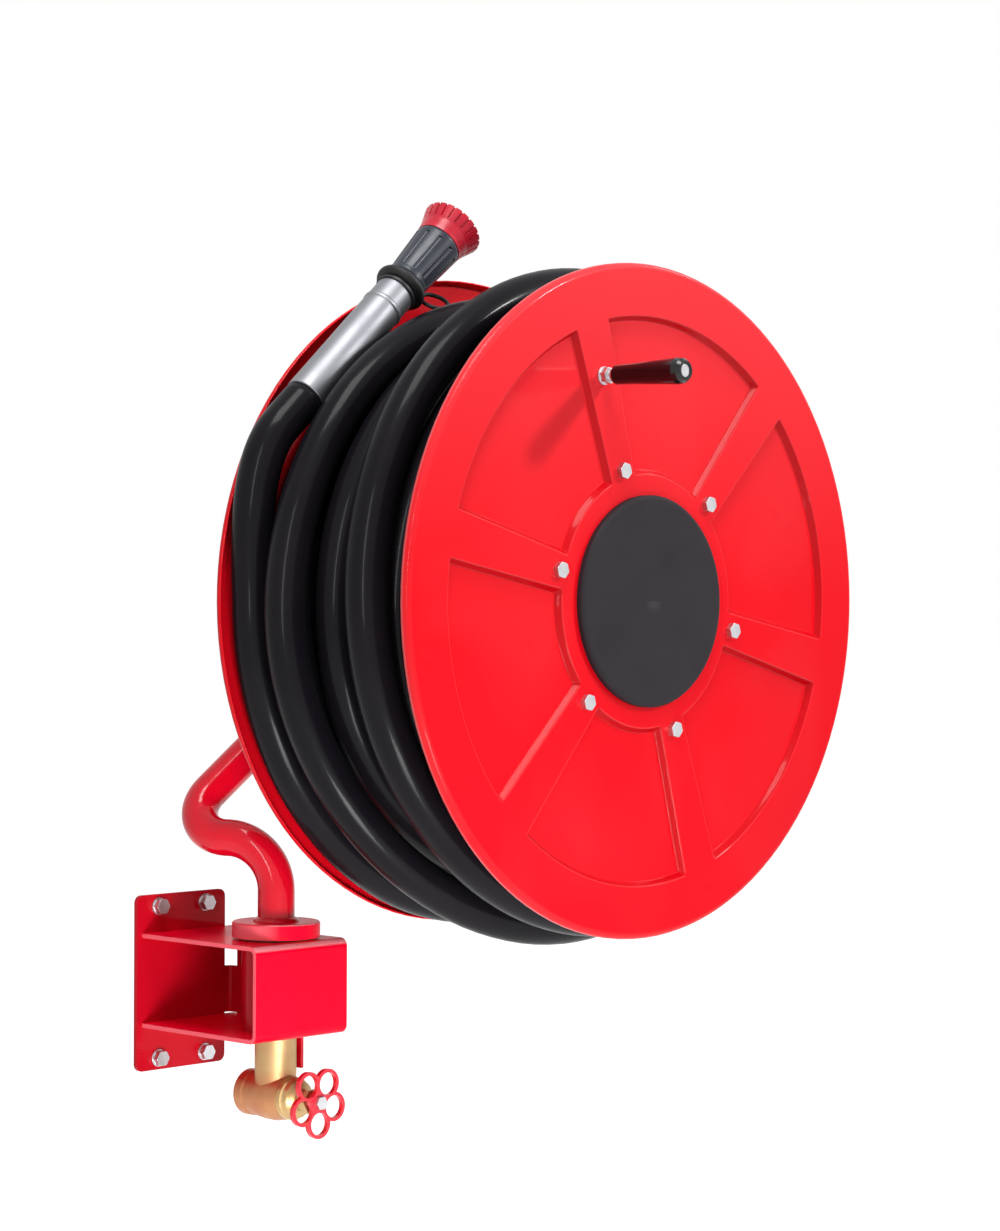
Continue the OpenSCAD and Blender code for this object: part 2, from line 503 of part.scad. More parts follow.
wall_plate();
bracket_channel();
wall_bolts();
neck_strap();
swivel_housing();
valve_body();
valve_bonnet();
gland_nut();
valve_stem();
handwheel();
wheel_nut();
valve_disc();
swing_pipe();
thrust_flange();
flange_washer();
arm_spindle();
arm_circlip();
arm_seal();
hub_spindle();
hub_seal();
hub_circlip();
hub_washer();
rear_disc();
front_disc();
hub_body();
spacer_tubes();
tie_bolts();
tie_nuts();
hub_cap();
outlet_elbow();
hose_ferrule();
hose_core();
hose_winding();
crank_pin();
crank_grip();
branch_pipe();
nozzle_collar();
bumper_ring();
nozzle_body();
nozzle_baffle();
nozzle_head();
tie_ring();
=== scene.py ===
"""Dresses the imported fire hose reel: pressed discs with soft edges, smooth wound hose, weld beads,
paint, rubber, brass, zinc and moulded plastic, in a plain white studio."""
import bpy, math
from math import pi, sin, cos, sqrt, hypot, radians
from mathutils import Matrix, Vector


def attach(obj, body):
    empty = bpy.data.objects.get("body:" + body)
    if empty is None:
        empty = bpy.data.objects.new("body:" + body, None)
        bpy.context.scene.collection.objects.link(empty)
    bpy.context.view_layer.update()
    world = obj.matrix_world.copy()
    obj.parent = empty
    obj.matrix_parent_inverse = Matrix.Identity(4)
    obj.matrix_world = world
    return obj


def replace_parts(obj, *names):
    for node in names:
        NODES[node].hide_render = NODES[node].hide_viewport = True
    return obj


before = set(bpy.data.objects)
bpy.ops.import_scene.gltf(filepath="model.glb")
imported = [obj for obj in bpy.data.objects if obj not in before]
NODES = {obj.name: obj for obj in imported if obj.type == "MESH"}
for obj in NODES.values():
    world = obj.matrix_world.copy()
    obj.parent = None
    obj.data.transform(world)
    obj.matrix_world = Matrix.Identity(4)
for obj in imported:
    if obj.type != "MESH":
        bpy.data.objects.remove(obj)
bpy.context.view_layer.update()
scene = bpy.context.scene

# ------------------------------------------------------------------ sizes of the CAD source
# Places are in metres, as in the frame: origin at the back of the wall plate, +Y into the wall,
# +Z up. Sizes are in mm. The drum's own frame is (u, v, n): u = +X, v = +Z, n = -Y from the rear
# rim plane.
HUB = (0.203, -0.159, 0.3534)                # drum axis on the rear rim plane
HUB_BACK = 0.035                             # hub spindle's flange behind that plane
FLANGE_TOP = (0.015, -0.118, 0.062)          # the arm's upright axis on top of its flange
VALVE_NECK = (-0.084, -0.070)                # heights between which the valve's neck begins
PIPE_R = 16.85                               # outer radius of the arm's pipe

DRUM_W = 240.0                               # rim plane to rim plane
DISC_R, SHEET = 300.0, 1.6                   # radius and thickness of the discs
CURL_R, LIP_H = 6.0, 8.4                     # bend radius and full height of the curled rim
FRONT_HOLE, REAR_HOLE = 62.0, 34.4           # radii of the discs' centre holes
PAN_IN, PAN_OUT, PAN_D = 113.0, 253.0, 6.0   # pressed panels: inner and outer radius, depth
SLOPE = 4.0                                  # run of a panel's slanted wall
RIB_IN, RIB_OUT = 15.0, 20.8                 # half width of a rib at its root and 140 further out
RIB_ROOT, RIB_RUN = 110.0, 140.0
RIB_PHASE = 107.2                            # degrees, the rib that carries the crank handle

HOSE_R = 18.5                                # outer radius of the hose
OUTER_R = DISC_R - 18.0                      # centre line of the outer turns
UNDER_R = OUTER_R - 38.5                     # centre line of the under layer
ELBOW_U = UNDER_R - 38.5                     # the outlet elbow's downward leg
OUT_N, FERRULE_V = 30.0, -70.0               # height of the outlet, end of the ferrule
NOZ_ANG = radians(42.0)                      # direction of the nozzle above the horizontal
NOZ_D, NOZ_N = DISC_R - 17.0, 34.0           # distance and height of the nozzle's axis
STUB = 48.0                                  # branch pipe below the foot of that radius

# ------------------------------------------------------------------ camera
PHOTO_H, FOCAL = 1231, 3020                  # pixels: height of the photograph, focal length
CAM_AT = (-1.83125, -2.15228, 0.35185)
SENSOR = 36.0
cam_data = bpy.data.cameras.new("camera")
cam = bpy.data.objects.new("camera", cam_data)
scene.collection.objects.link(cam)
right = Vector((0.68911, -0.72464, 0.00457))
fwd = Vector((0.72465, 0.68910, -0.00434)).normalized()
right = (right - fwd*right.dot(fwd)).normalized()
up = right.cross(fwd)
cam.matrix_world = Matrix([(right[i], up[i], -fwd[i], CAM_AT[i]) for i in range(3)]
                          + [(0, 0, 0, 1)])
cam_data.sensor_fit = "AUTO"
cam_data.sensor_width = SENSOR
cam_data.lens = FOCAL/PHOTO_H*SENSOR
cam_data.clip_start, cam_data.clip_end = 0.05, 60
scene.camera = cam


# ------------------------------------------------------------------ materials
def lin(r, g, b):
    """A colour written as sRGB bytes, in linear light."""
    def channel(c):
        return c/12.92 if c <= 0.04045 else ((c + 0.055)/1.055)**2.4
    return (channel(r/255), channel(g/255), channel(b/255))


class Mat:
    """A node material: principled shader, object coordinates, helpers that stack detail on it."""

    def __init__(self, name, color, rough, metallic=0.0, **sockets):
        self.m = bpy.data.materials.new(name)
        self.m.use_nodes = True
        self.t = self.m.node_tree
        self.p = self.t.nodes["Principled BSDF"]
        self.p.inputs["Base Color"].default_value = (*color, 1.0)
        self.p.inputs["Roughness"].default_value = rough
        self.p.inputs["Metallic"].default_value = metallic
        for key, value in sockets.items():
            self.p.inputs[key.replace("_", " ")].default_value = value
        self.co = self.new("ShaderNodeTexCoord").outputs["Object"]
        self.bumps = None

    def new(self, kind, **props):
        n = self.t.nodes.new(kind)
        for key, value in props.items():
            setattr(n, key, value)
        return n

    def link(self, a, b):
        self.t.links.new(a, b)

    def coords(self, scale, rot=(0, 0, 0)):
        n = self.new("ShaderNodeMapping")
        n.inputs["Scale"].default_value = scale
        n.inputs["Rotation"].default_value = rot
        self.link(self.co, n.inputs["Vector"])
        return n.outputs["Vector"]

    def noise(self, scale, detail=3.0, rough=0.5, vec=None, distortion=0.0):
        n = self.new("ShaderNodeTexNoise")
        n.inputs["Scale"].default_value = scale
        n.inputs["Detail"].default_value = detail
        n.inputs["Roughness"].default_value = rough
        n.inputs["Distortion"].default_value = distortion
        self.link(vec or self.co, n.inputs["Vector"])
        return n.outputs["Fac"]

    def ramp(self, fac, lo, hi, a=0.0, b=1.0):
        """a where fac is lo, b where it is hi."""
        n = self.new("ShaderNodeMapRange", clamp=True)
        for key, value in zip(("From Min", "From Max", "To Min", "To Max"), (lo, hi, a, b)):
            n.inputs[key].default_value = value
        self.link(fac, n.inputs["Value"])
        return n.outputs["Result"]

    def math(self, op, *terms):
        n = self.new("ShaderNodeMath", operation=op)
        for i, term in enumerate(terms):
            if isinstance(term, float):
                n.inputs[i].default_value = term
            else:
                self.link(term, n.inputs[i])
        return n.outputs[0]

    def split(self, vec):
        n = self.new("ShaderNodeSeparateXYZ")
        self.link(vec, n.inputs[0])
        return n.outputs["X"], n.outputs["Y"], n.outputs["Z"]

    def normal(self):
        """The surface normal in the piece's own frame."""
        return self.split(self.new("ShaderNodeTexCoord").outputs["Normal"])

    def bent(self, lo, hi):
        """1 along the bends of a dense mesh that stand out (lo < hi) or lie in (lo > hi)."""
        return self.ramp(self.new("ShaderNodeNewGeometry").outputs["Pointiness"], lo, hi)

    def tint(self, fac, other):
        """Mixes the colour towards another where fac is high."""
        n = self.new("ShaderNodeMix", data_type="RGBA")
        src = self.p.inputs["Base Color"]
        if src.is_linked:
            self.link(src.links[0].from_socket, n.inputs["A"])
        else:
            n.inputs["A"].default_value = src.default_value[:]
        n.inputs["B"].default_value = (*other, 1.0)
        self.link(fac, n.inputs["Factor"])
        self.link(n.outputs["Result"], src)

    def roughen(self, fac, lo, hi):
        self.link(self.ramp(fac, 0.3, 0.7, lo, hi), self.p.inputs["Roughness"])

    def soft_edges(self, radius):
        n = self.new("ShaderNodeBevel", samples=4)
        n.inputs["Radius"].default_value = radius
        self.bumps = n.outputs["Normal"]
        self.link(self.bumps, self.p.inputs["Normal"])

    def bump(self, fac, strength, dist):
        """Comes after soft_edges, whose normal it starts from."""
        n = self.new("ShaderNodeBump")
        n.inputs["Strength"].default_value = strength
        n.inputs["Distance"].default_value = dist
        self.link(fac, n.inputs["Height"])
        if self.bumps:
            self.link(self.bumps, n.inputs["Normal"])
        self.bumps = n.outputs["Normal"]
        self.link(self.bumps, self.p.inputs["Normal"])


def finish(name, color, other, spots, amount, rough, grain=None, spread=None,
           edge=0.0, fade=(0.4, 0.7), metallic=0.0, **sockets):
    """A material mottled towards another colour. spots is the noise of the colour and fade the part
    of it that counts, grain is the noise of the roughness and spread the roughness's range."""
    m = Mat(name, color, rough, metallic, **sockets)
    if edge:
        m.soft_edges(edge)
    m.tint(m.ramp(m.noise(*spots), *fade, 0.0, amount), other)
    if grain:
        m.roughen(m.noise(*grain), *spread)
    return m


def paint(name, color, pale, rough, spec, coat, edge=0.0):
    """Powder coat or enamel: clouded, faintly uneven, under a clear coat."""
    m = finish(name, color, pale, spots=(4.0, 4.0, 0.55), fade=(0.35, 0.75), amount=0.6,
               rough=rough, grain=(14.0, 5.0, 0.6), spread=(rough - 0.04, rough + 0.08), edge=edge,
               Specular_IOR_Level=spec, Coat_Weight=coat, Coat_Roughness=0.08)
    m.bump(m.noise(34.0, 2.0, 0.5), 0.05, 0.0006)
    return m


# ---- red paint, one colour a part: the darker copies on rear disc, frame and plate are painted shade
STEEL_EDGE, WHEEL_EDGE = 0.0014, 0.0012      # m, radius of softened edges
METAL_EDGE, BRASS_EDGE = 0.0006, 0.0010
PAINTED_LIGHT_Z, PAINTED_SHADE_Z = (0.36, 0.66), (0.34, 0.12)  # heights over which painted light makes the front disc paler and painted shade deeper
# heights over which painted light makes the rear disc paler towards its top
REAR_PAINTED_LIGHT_Z = (0.52, 0.64)
# steep faces beyond these radii are the rim's curl and not pressed walls, and get no painted shade
OFF_WALL = ((PAN_OUT + 22)/1000, (PAN_OUT + 12)/1000)

red_disc = paint("red_powder_coat_disc", (0.94, 0.003, 0.012), (0.86, 0.003, 0.011),
                 rough=0.30, spec=0.03, coat=0.15)
# painted shade: the rear disc's red is a darker copy, for the shade its inside lies in
red_rear_painted_shade = paint("red_powder_coat_rear_disc_painted_shade", (0.74, 0.003, 0.012), (0.66, 0.003, 0.011),
                 rough=0.30, spec=0.05, coat=0.2)
# painted shade: the arm's pipe and its welds take a darker copy of the red, for the shade on them
red_frame_painted_shade = paint("red_powder_coat_frame_painted_shade", (0.72, 0.002, 0.018), (0.62, 0.002, 0.015),
                  rough=0.26, spec=0.06, coat=0.50, edge=STEEL_EDGE)
red_box = paint("red_powder_coat_box", (0.90, 0.0008, 0.027), (0.84, 0.0008, 0.024),
                rough=0.30, spec=0.03, coat=0.08, edge=STEEL_EDGE)
# painted shade: wall plate and swivel housing take a darker copy of the red, for the shade they lie
# in
red_plate_painted_shade = paint("red_powder_coat_plate_painted_shade", (0.54, 0.003, 0.015), (0.45, 0.003, 0.013),
                  rough=0.32, spec=0.06, coat=0.16, edge=STEEL_EDGE)
wheel_paint = paint("red_enamel_wheel", (0.84, 0.011, 0.032), (0.74, 0.009, 0.028),
                    rough=0.26, spec=0.2, coat=0.5, edge=WHEEL_EDGE)


def paint_light_on_front_disc(m):
    """Painted light and shade: paler top, deeper bottom, shaded pressed walls, highlighted bends."""
    x, _, z = m.split(m.co)
    # painted light towards the top and painted shade towards the bottom
    m.tint(m.ramp(z, *PAINTED_LIGHT_Z, 0.0, 0.65), (1.0, 0.062, 0.075))
    m.tint(m.ramp(z, *PAINTED_SHADE_Z, 0.0, 0.8), (0.84, 0.0012, 0.011))
    clouds = m.noise(5.0, 2.0, 0.4, m.coords((1.4, 1.0, 0.8)), 0.6)
    m.tint(m.ramp(clouds, 0.50, 0.72, 0.0, 0.16), (1.0, 0.06, 0.07))
    # painted shade on the steep pressed walls, short of the rim's curl
    wall_shade_mask = m.ramp(m.math("ABSOLUTE", m.normal()[1]), 0.93, 0.72)
    squares = [m.math("POWER", m.math("SUBTRACT", p, at), 2.0)
               for p, at in ((x, HUB[0]), (z, HUB[2]))]
    radius = m.math("SQRT", m.math("ADD", *squares))
    m.tint(m.math("MULTIPLY", wall_shade_mask, m.ramp(radius, *OFF_WALL)), (0.60, 0.002, 0.008))
    # painted highlights along the convex bends
    m.tint(m.bent(0.51, 0.56), (1.0, 0.12, 0.13))


def paint_light_on_box(m):
    """Painted highlight on the top fold, facing forward and up, and painted light on the cut edge.
    """
    nx, ny, nz = m.normal()
    # painted highlight along the top fold
    m.tint(m.math("MULTIPLY", m.ramp(ny, -0.25, -0.5), m.ramp(nz, 0.3, 0.5)), (1.0, 0.26, 0.30))
    # painted light on the sheet's cut edge, which faces -x
    m.tint(m.ramp(nx, -0.6, -0.9, 0.0, 0.8), (1.0, 0.16, 0.20))


paint_light_on_front_disc(red_disc)
# painted light: the rear disc turns paler towards its top
red_rear_painted_shade.tint(red_rear_painted_shade.ramp(red_rear_painted_shade.split(red_rear_painted_shade.co)[2], *REAR_PAINTED_LIGHT_Z), (0.95, 0.004, 0.014))
paint_light_on_box(red_box)

# ---- metals
zinc = finish("zinc_plated_steel", lin(205, 205, 208), lin(182, 184, 188), spots=(120.0, 4.0, 0.6),
              amount=0.6, rough=0.34, grain=(220.0,), spread=(0.28, 0.42), edge=METAL_EDGE,
              metallic=1.0)
brass = finish("cast_brass", lin(182, 126, 88), lin(174, 104, 74), spots=(38.0, 5.0, 0.6),
               fade=(0.42, 0.68), amount=0.6, rough=0.46, grain=(90.0, 4.0), spread=(0.40, 0.54),
               edge=BRASS_EDGE, metallic=1.0)
brass.tint(brass.ramp(brass.noise(9.0), 0.48, 0.72, 0.0, 0.4), lin(210, 170, 120))
brass.tint(brass.ramp(brass.split(brass.co)[2], *VALVE_NECK, 0.0, 0.85), lin(184, 156, 112))
brass.bump(brass.noise(500.0, 3.0, 0.6), 0.14, 0.0004)
turned = finish("turned_brass", lin(190, 160, 112), lin(184, 142, 92), spots=(60.0,), amount=0.4,
                rough=0.38, grain=(80.0,), spread=(0.32, 0.44), edge=METAL_EDGE, metallic=1.0)
# painted shade: the bronze washers are darkened to stand for the shade in the gaps they sit in
bronze = finish("bronze_darkened_as_painted_shade", lin(84, 58, 44), lin(60, 42, 34), spots=(80.0,), amount=0.6,
                rough=0.5, metallic=0.9)
alu = finish("turned_aluminium", lin(140, 141, 145), lin(124, 125, 130), spots=(18.0,), amount=0.4,
             rough=0.42, grain=(30.0,), spread=(0.44, 0.54), edge=METAL_EDGE, metallic=1.0)
alu.bump(alu.noise(1.0, 2.0, 0.5, alu.coords((420, 40, 40), (0, NOZ_ANG, 0))), 0.05, 0.0002)

# ---- rubber and mouldings
rubber = finish("satin_black_rubber", (0.0072, 0.0062, 0.0084), (0.0120, 0.0100, 0.0128),
                spots=(10.0, 5.0, 0.6), fade=(0.4, 0.75), amount=0.7, rough=0.36,
                grain=(18.0, 5.0, 0.6), spread=(0.30, 0.44),
                Specular_IOR_Level=0.04, Coat_Weight=0.11, Coat_Roughness=0.13)
rubber.bump(rubber.noise(26.0), 0.08, 0.0010)
seal = finish("matte_seal_rubber", lin(22, 22, 24), lin(32, 32, 34), spots=(60.0,), amount=0.5,
              rough=0.55, Specular_IOR_Level=0.3)
seal.bump(seal.noise(300.0), 0.08, 0.0003)
cap = finish("matte_black_cover", lin(36, 31, 36), lin(31, 27, 32), spots=(6.0, 4.0),
             fade=(0.35, 0.7), amount=0.6, rough=0.60, grain=(20.0, 4.0), spread=(0.54, 0.68),
             edge=0.0015, Specular_IOR_Level=0.2)
collar = finish("satin_black_moulding", lin(34, 34, 38), lin(28, 28, 31), spots=(50.0,),
                amount=0.5, rough=0.42, grain=(60.0,), spread=(0.34, 0.50), edge=0.0008,
                Specular_IOR_Level=0.35)
grip = finish("gloss_dark_grip", lin(13, 10, 12), lin(18, 12, 14), spots=(30.0, 4.0),
              fade=(0.35, 0.7), amount=0.5, rough=0.22, grain=(50.0, 4.0), spread=(0.16, 0.28),
              edge=0.0012, Specular_IOR_Level=0.2, Coat_Weight=0.4, Coat_Roughness=0.08)
body = finish("blue_black_moulding", lin(40, 46, 58), lin(33, 37, 47), spots=(50.0, 4.0),
              amount=0.5, rough=0.34, grain=(40.0, 4.0), spread=(0.30, 0.44), edge=0.0004,
              Specular_IOR_Level=0.28, Coat_Weight=0.18, Coat_Roughness=0.2)
head = finish("red_moulding", lin(212, 29, 54), lin(175, 20, 41), spots=(55.0, 4.0),
              amount=0.6, rough=0.36, grain=(60.0,), spread=(0.30, 0.44), edge=0.0006,
              Specular_IOR_Level=0.3, Coat_Weight=0.2, Coat_Roughness=0.18)

LOOKS = {
    red_disc: ("front_disc",),
    red_rear_painted_shade: ("rear_disc",),
    red_frame_painted_shade: ("swing_pipe", "neck_strap"),
    red_box: ("bracket_channel", "thrust_flange"),
    red_plate_painted_shade: ("wall_plate", "swivel_housing"),
    wheel_paint: ("handwheel",),
    brass: ("valve_body",),
    turned: ("valve_bonnet", "gland_nut", "valve_stem", "valve_disc"),
    bronze: ("flange_washer", "hub_washer"),
    alu: ("branch_pipe",),
    rubber: ("hose_core", "hose_winding"),
    seal: ("arm_seal", "hub_seal", "bumper_ring", "tie_ring"),
    cap: ("hub_cap",),
    collar: ("nozzle_collar",),
    grip: ("crank_grip",),
    body: ("nozzle_body", "nozzle_baffle"),
    head: ("nozzle_head",),
}
LOOK_OF = {node: look for look, nodes in LOOKS.items() for node in nodes}
for name, o in NODES.items():
    look = LOOK_OF.get(name, zinc)           # bolts, nuts, spindles and other plated steel
    if not o.material_slots:
        o.data.materials.append(look.m)
    for s in o.material_slots:
        s.link = "OBJECT"
        s.material = look.m


# ------------------------------------------------------------------ meshes
def piece(name, verts, faces, look, body_name, slot):
    me = bpy.data.meshes.new(name)
    me.from_pydata(verts, [], faces)
    me.validate()
    me.materials.append(look.m)
    me.polygons.foreach_set("use_smooth", [True]*len(me.polygons))
    me.update()
    o = bpy.data.objects.new(name, me)
    scene.collection.objects.link(o)
    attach(o, body_name)
    return o


def hub(u, v, n):
    """A point of the drum's own frame, in the frame's metres."""
    return Vector((HUB[0] + u/1000, HUB[1] - n/1000, HUB[2] + v/1000))


# ---- pressed discs: the same sheet as the CAD nodes, with a round bend at every fold
BEND = 0.9                                   # half of each bend, along the wall's run
CORNER = 0.7                                 # rounds the corners where two walls meet
MARGIN = 1.7                                 # flat strip on both sides of a wall's bends
FOLD = [-BEND, -BEND/2, 0.0, BEND/2, BEND]   # rows of the mesh across a bend, and across a wall
WALL = [-MARGIN] + FOLD + [SLOPE/2] + [SLOPE + q for q in FOLD] + [SLOPE + MARGIN]
# columns of the mesh in half a sector: shares of the rib, mm across the wall, shares of the panel
HALF = ([("rib", q) for q in (0.0, 0.4, 0.8)] + [("wall", q) for q in WALL]
        + [("panel", q) for q in (0.09, 0.2, 0.32, 0.45, 0.58, 0.72, 0.86, 1.0)])
COLUMNS = []                                 # (angle of the rib, side of it, kind, share or mm)
for rib in range(6):
    at = radians(RIB_PHASE + 60*rib)
    COLUMNS += [(at, -1, *h) for h in reversed(HALF[1:-1])] + [(at, 1, *h) for h in HALF]
CURL_STEPS = 10
THIN = 0.6                                   # least share of the sheet's thickness along n


def rib_half(x):
    """Half width of a rib, x along it from the drum's axis."""
    return RIB_IN + (RIB_OUT - RIB_IN)*(x - RIB_ROOT)/RIB_RUN


def pan_depth(r, x, y):
    """Depth of the pressing at radius r; x along the nearest rib, y across it."""
    inset = [r - PAN_IN, PAN_OUT - r, abs(y) - rib_half(x)]
    least = min(inset)
    t = least - CORNER*math.log(sum(math.exp((least - q)/CORNER) for q in inset))
    if t <= -BEND:
        return 0.0
    if t < BEND:
        return PAN_D*(t + BEND)**2/(4*BEND)/SLOPE
    if t <= SLOPE - BEND:
        return PAN_D*t/SLOPE
    if t < SLOPE + BEND:
        return PAN_D*(1 - (SLOPE + BEND - t)**2/(4*BEND)/SLOPE)
    return PAN_D


def disc_rows(hole):
    """Radii of the mesh's rows, from the centre hole to where the rim begins to curl. The numbers
    in it only space the rows on the flat parts."""
    first, last = PAN_IN + WALL[-1], PAN_OUT - WALL[-1]
    return ([hole + 0.01, hole + 8, PAN_IN - 14] + [PAN_IN + q for q in WALL]
            + [first + (last - first)*i/9 for i in range(1, 9)]
            + [PAN_OUT - q for q in reversed(WALL)]
            + [PAN_OUT + 9, PAN_OUT + 25, DISC_R - CURL_R - 1.5, DISC_R - CURL_R])


def column_angle(r, kind, q):
    """Angle between a rib's centre line and one column of the mesh, at radius r."""
    w = rib_half(r)
    for _ in range(3):                       # nears the width where the rib's edge is at r
        w = rib_half(sqrt(r*r - w*w))
    if kind == "rib":
        return math.asin(q*(w - MARGIN)/r)
    if kind == "wall":
        return math.asin((w + q)/r)
    edge = math.asin((w + WALL[-1])/r)
    return edge + (pi/6 - edge)*q


def disc_row(r, z=None):
    """One row as (angle, radius, depth). Without z it has the depth of the pressing."""
    row = []
    for at, side, kind, q in COLUMNS:
        a = side*column_angle(r, kind, q)
        row.append((at + a, r, -pan_depth(r, r*cos(a), r*sin(a)) if z is None else z))
    return row


def sheet_back(top, pressed):
    """The sheet's other face: each point of top, moved inwards along the local slope. The first
    rows, as many as pressed, also slope along the row."""
    back = []
    for i, row in enumerate(top):
        before, after = top[max(i - 1, 0)], top[min(i + 1, len(top) - 1)]
        moved = []
        for j, (a, r, z) in enumerate(row):
            dr, dz = after[j][1] - before[j][1], after[j][2] - before[j][2]
            nr, nz = -dz/hypot(dr, dz), dr/hypot(dr, dz)
            if i >= len(top) - 2:            # the lip is upright
                nr, nz = 1, 0
            thick = SHEET
            if i < pressed:
                left, right = row[j - 1], row[(j + 1) % len(row)]
                run = r*((right[0] - left[0] + pi) % (2*pi) - pi)
                slope = (right[2] - left[2])/run
                thick = SHEET*max(1/sqrt(1 + slope*slope), THIN)
            moved.append((a, r - nr*SHEET, z - nz*thick))
        back.append(moved)
    return back


def disc_piece(name, node, hole, face, look):
    """face = 1: front disc, whose outside looks along +n; -1: rear disc."""
    radii = disc_rows(hole)
    top = [disc_row(r) for r in radii]
    for i in range(1, CURL_STEPS + 1):
        t = i/CURL_STEPS*pi/2
        top.append(disc_row(DISC_R - CURL_R + CURL_R*sin(t), -CURL_R + CURL_R*cos(t)))
    top.append(disc_row(DISC_R, -LIP_H))
    verts = [hub(r*cos(a), r*sin(a), DRUM_W + z if face > 0 else -z)
             for row in top + sheet_back(top, len(radii)) for a, r, z in row]

    across = len(COLUMNS)
    under = len(top)*across                  # from a point of the outside to the one behind it
    rim = under - across
    faces = []
    for i in range(len(top) - 1):
        for j in range(across):
            k = (j + 1) % across
            a, b, c, d = i*across + j, (i + 1)*across + j, (i + 1)*across + k, i*across + k
            faces += [(a, b, c, d), (d + under, c + under, b + under, a + under)]
    for j in range(across):
        k = (j + 1) % across
        faces += [(j, k, k + under, j + under),
                  (rim + k, rim + j, rim + j + under, rim + k + under)]
    if face < 0:
        faces = [f[::-1] for f in faces]
    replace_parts(piece(name, verts, faces, look, "drum", "red_paint"), node)


disc_piece("front_disc_pressed", "front_disc", FRONT_HOLE, 1, red_disc)
disc_piece("rear_disc_pressed", "rear_disc", REAR_HOLE, -1, red_rear_painted_shade)

# ---- the hose: the same path as the CAD winding, smooth and round
# T counts turns from the inner end; the outer turns are T > 4. T = 7 is level with the axis on the
# left, the last point that lies on the roll.
T0, T_END = -10/24, 7                        # where the hose meets the roll, and leaves it
LEAD = 1.6/24                                # turns in which it leaves the ferrule's line
DOWN = 48.4                                  # straight run from the ferrule to the roll
TOP_N = 213.0                                # the under layer ends here
PITCH, EVEN_PITCH = 40.75, 37.9              # steps of the under layer: last turn, those before
CLIMB, CLIMB_TO = 3.9, 4.7                   # turns at which it climbs to the outer radius
SAG = 12.5                                   # how far the slack turn hangs lower
LEAVE, ARRIVE = (0, 150, -6), 150.0          # pull with which the end leaves the roll and arrives
NU = [30, 33.5, 37, 40.5, 43.6, 46.5, 47, 44.5, 38.5, 37, 38.5, 46.5, 59, 70.5, 78.5, 83, 87.8,
      92.1, 96.45, 99.61]                    # n at T = -6/12, -5/12 ... 13/12
N4 = [213, 213, 213, 197, 173, 163, 155, 137, 71, 71, 62, 35, 22, 20]    # n at T = 4, 4.25 ...
R4 = [0, 0, 0, 0, 0, 0, 0, SAG, -2, -21, 0, 0, -8, -8]   # added to the outer radius there
STEPS, BLEND_STEPS, END_STEPS, SIDES = 120, 24, 5, 28    # per turn, of the other stretches, round


def smooth(t):
    t = max(0.0, min(1.0, t))
    return t*t*(3 - 2*t)


def herm(p, m, q, w, t):
    """Smooth curve from p, leaving along m, to q, arriving along w."""
    return (2*t**3 - 3*t*t + 1)*p + (t**3 - 2*t*t + t)*m + (3*t*t - 2*t**3)*q + (t**3 - t*t)*w


def mean_slope(a, b):
    return 0 if a*b <= 0 else 2*a*b/(a + b)


def tab(v, T, start, step):
    """Smooth curve through the table v that never overshoots its points."""
    q, m = (T - start)*step, len(v) - 1
    i = min(int(math.floor(q)), m - 1)
    a, b, c = v[i] - v[max(i - 1, 0)], v[i + 1] - v[i], v[min(i + 2, m)] - v[i + 1]
    return herm(v[i], mean_slope(a, b), v[i + 1], mean_slope(b, c), q - i)


def roll(T):
    """The hose's centre line on the roll, after T turns."""
    if T < 1:
        n = tab(NU, T, -0.5, 12)
    elif T < 3:
        n = TOP_N - PITCH - EVEN_PITCH*(3 - T)
    elif T < 4:
        n = TOP_N - PITCH*(4 - T)
    else:
        n = tab(N4, T, 4, 4)
    if T < CLIMB:
        r = UNDER_R
    elif T < CLIMB_TO:
        r = UNDER_R + (OUTER_R - UNDER_R)*sin(pi/2*(T - CLIMB)/(CLIMB_TO - CLIMB))
    else:
        r = OUTER_R + tab(R4, T, 4, 4)
    if T < T0 + LEAD:
        s = smooth((T - T0)/LEAD)
        r = ELBOW_U/cos(radians(30))*(1 - s) + r*s
        n = OUT_N*(1 - s) + n*s
    a = radians(180 + 360*(T_END - T))
    return Vector((r*cos(a), r*sin(a), n))


def tube(points, radius, sides):
    """Closed round tube along points of the drum's own frame."""
    verts, faces = [], []
    n = len(points)
    for i, p in enumerate(points):
        t = (points[min(i + 1, n - 1)] - points[max(i - 1, 0)]).normalized()
        b = t.cross(Vector((0, 0, 1))).normalized()
        c = b.cross(t)
        for k in range(sides):
            a = 2*pi*k/sides
            verts.append(hub(*(p + radius*(cos(a)*b + sin(a)*c))))
    for i in range(n - 1):
        for k in range(sides):
            here, beside = i*sides + k, i*sides + (k + 1) % sides
            faces.append((here, here + sides, beside + sides, beside))
    faces.append(tuple(range(sides)))
    faces.append(tuple(range((n - 1)*sides, n*sides))[::-1])
    return verts, faces


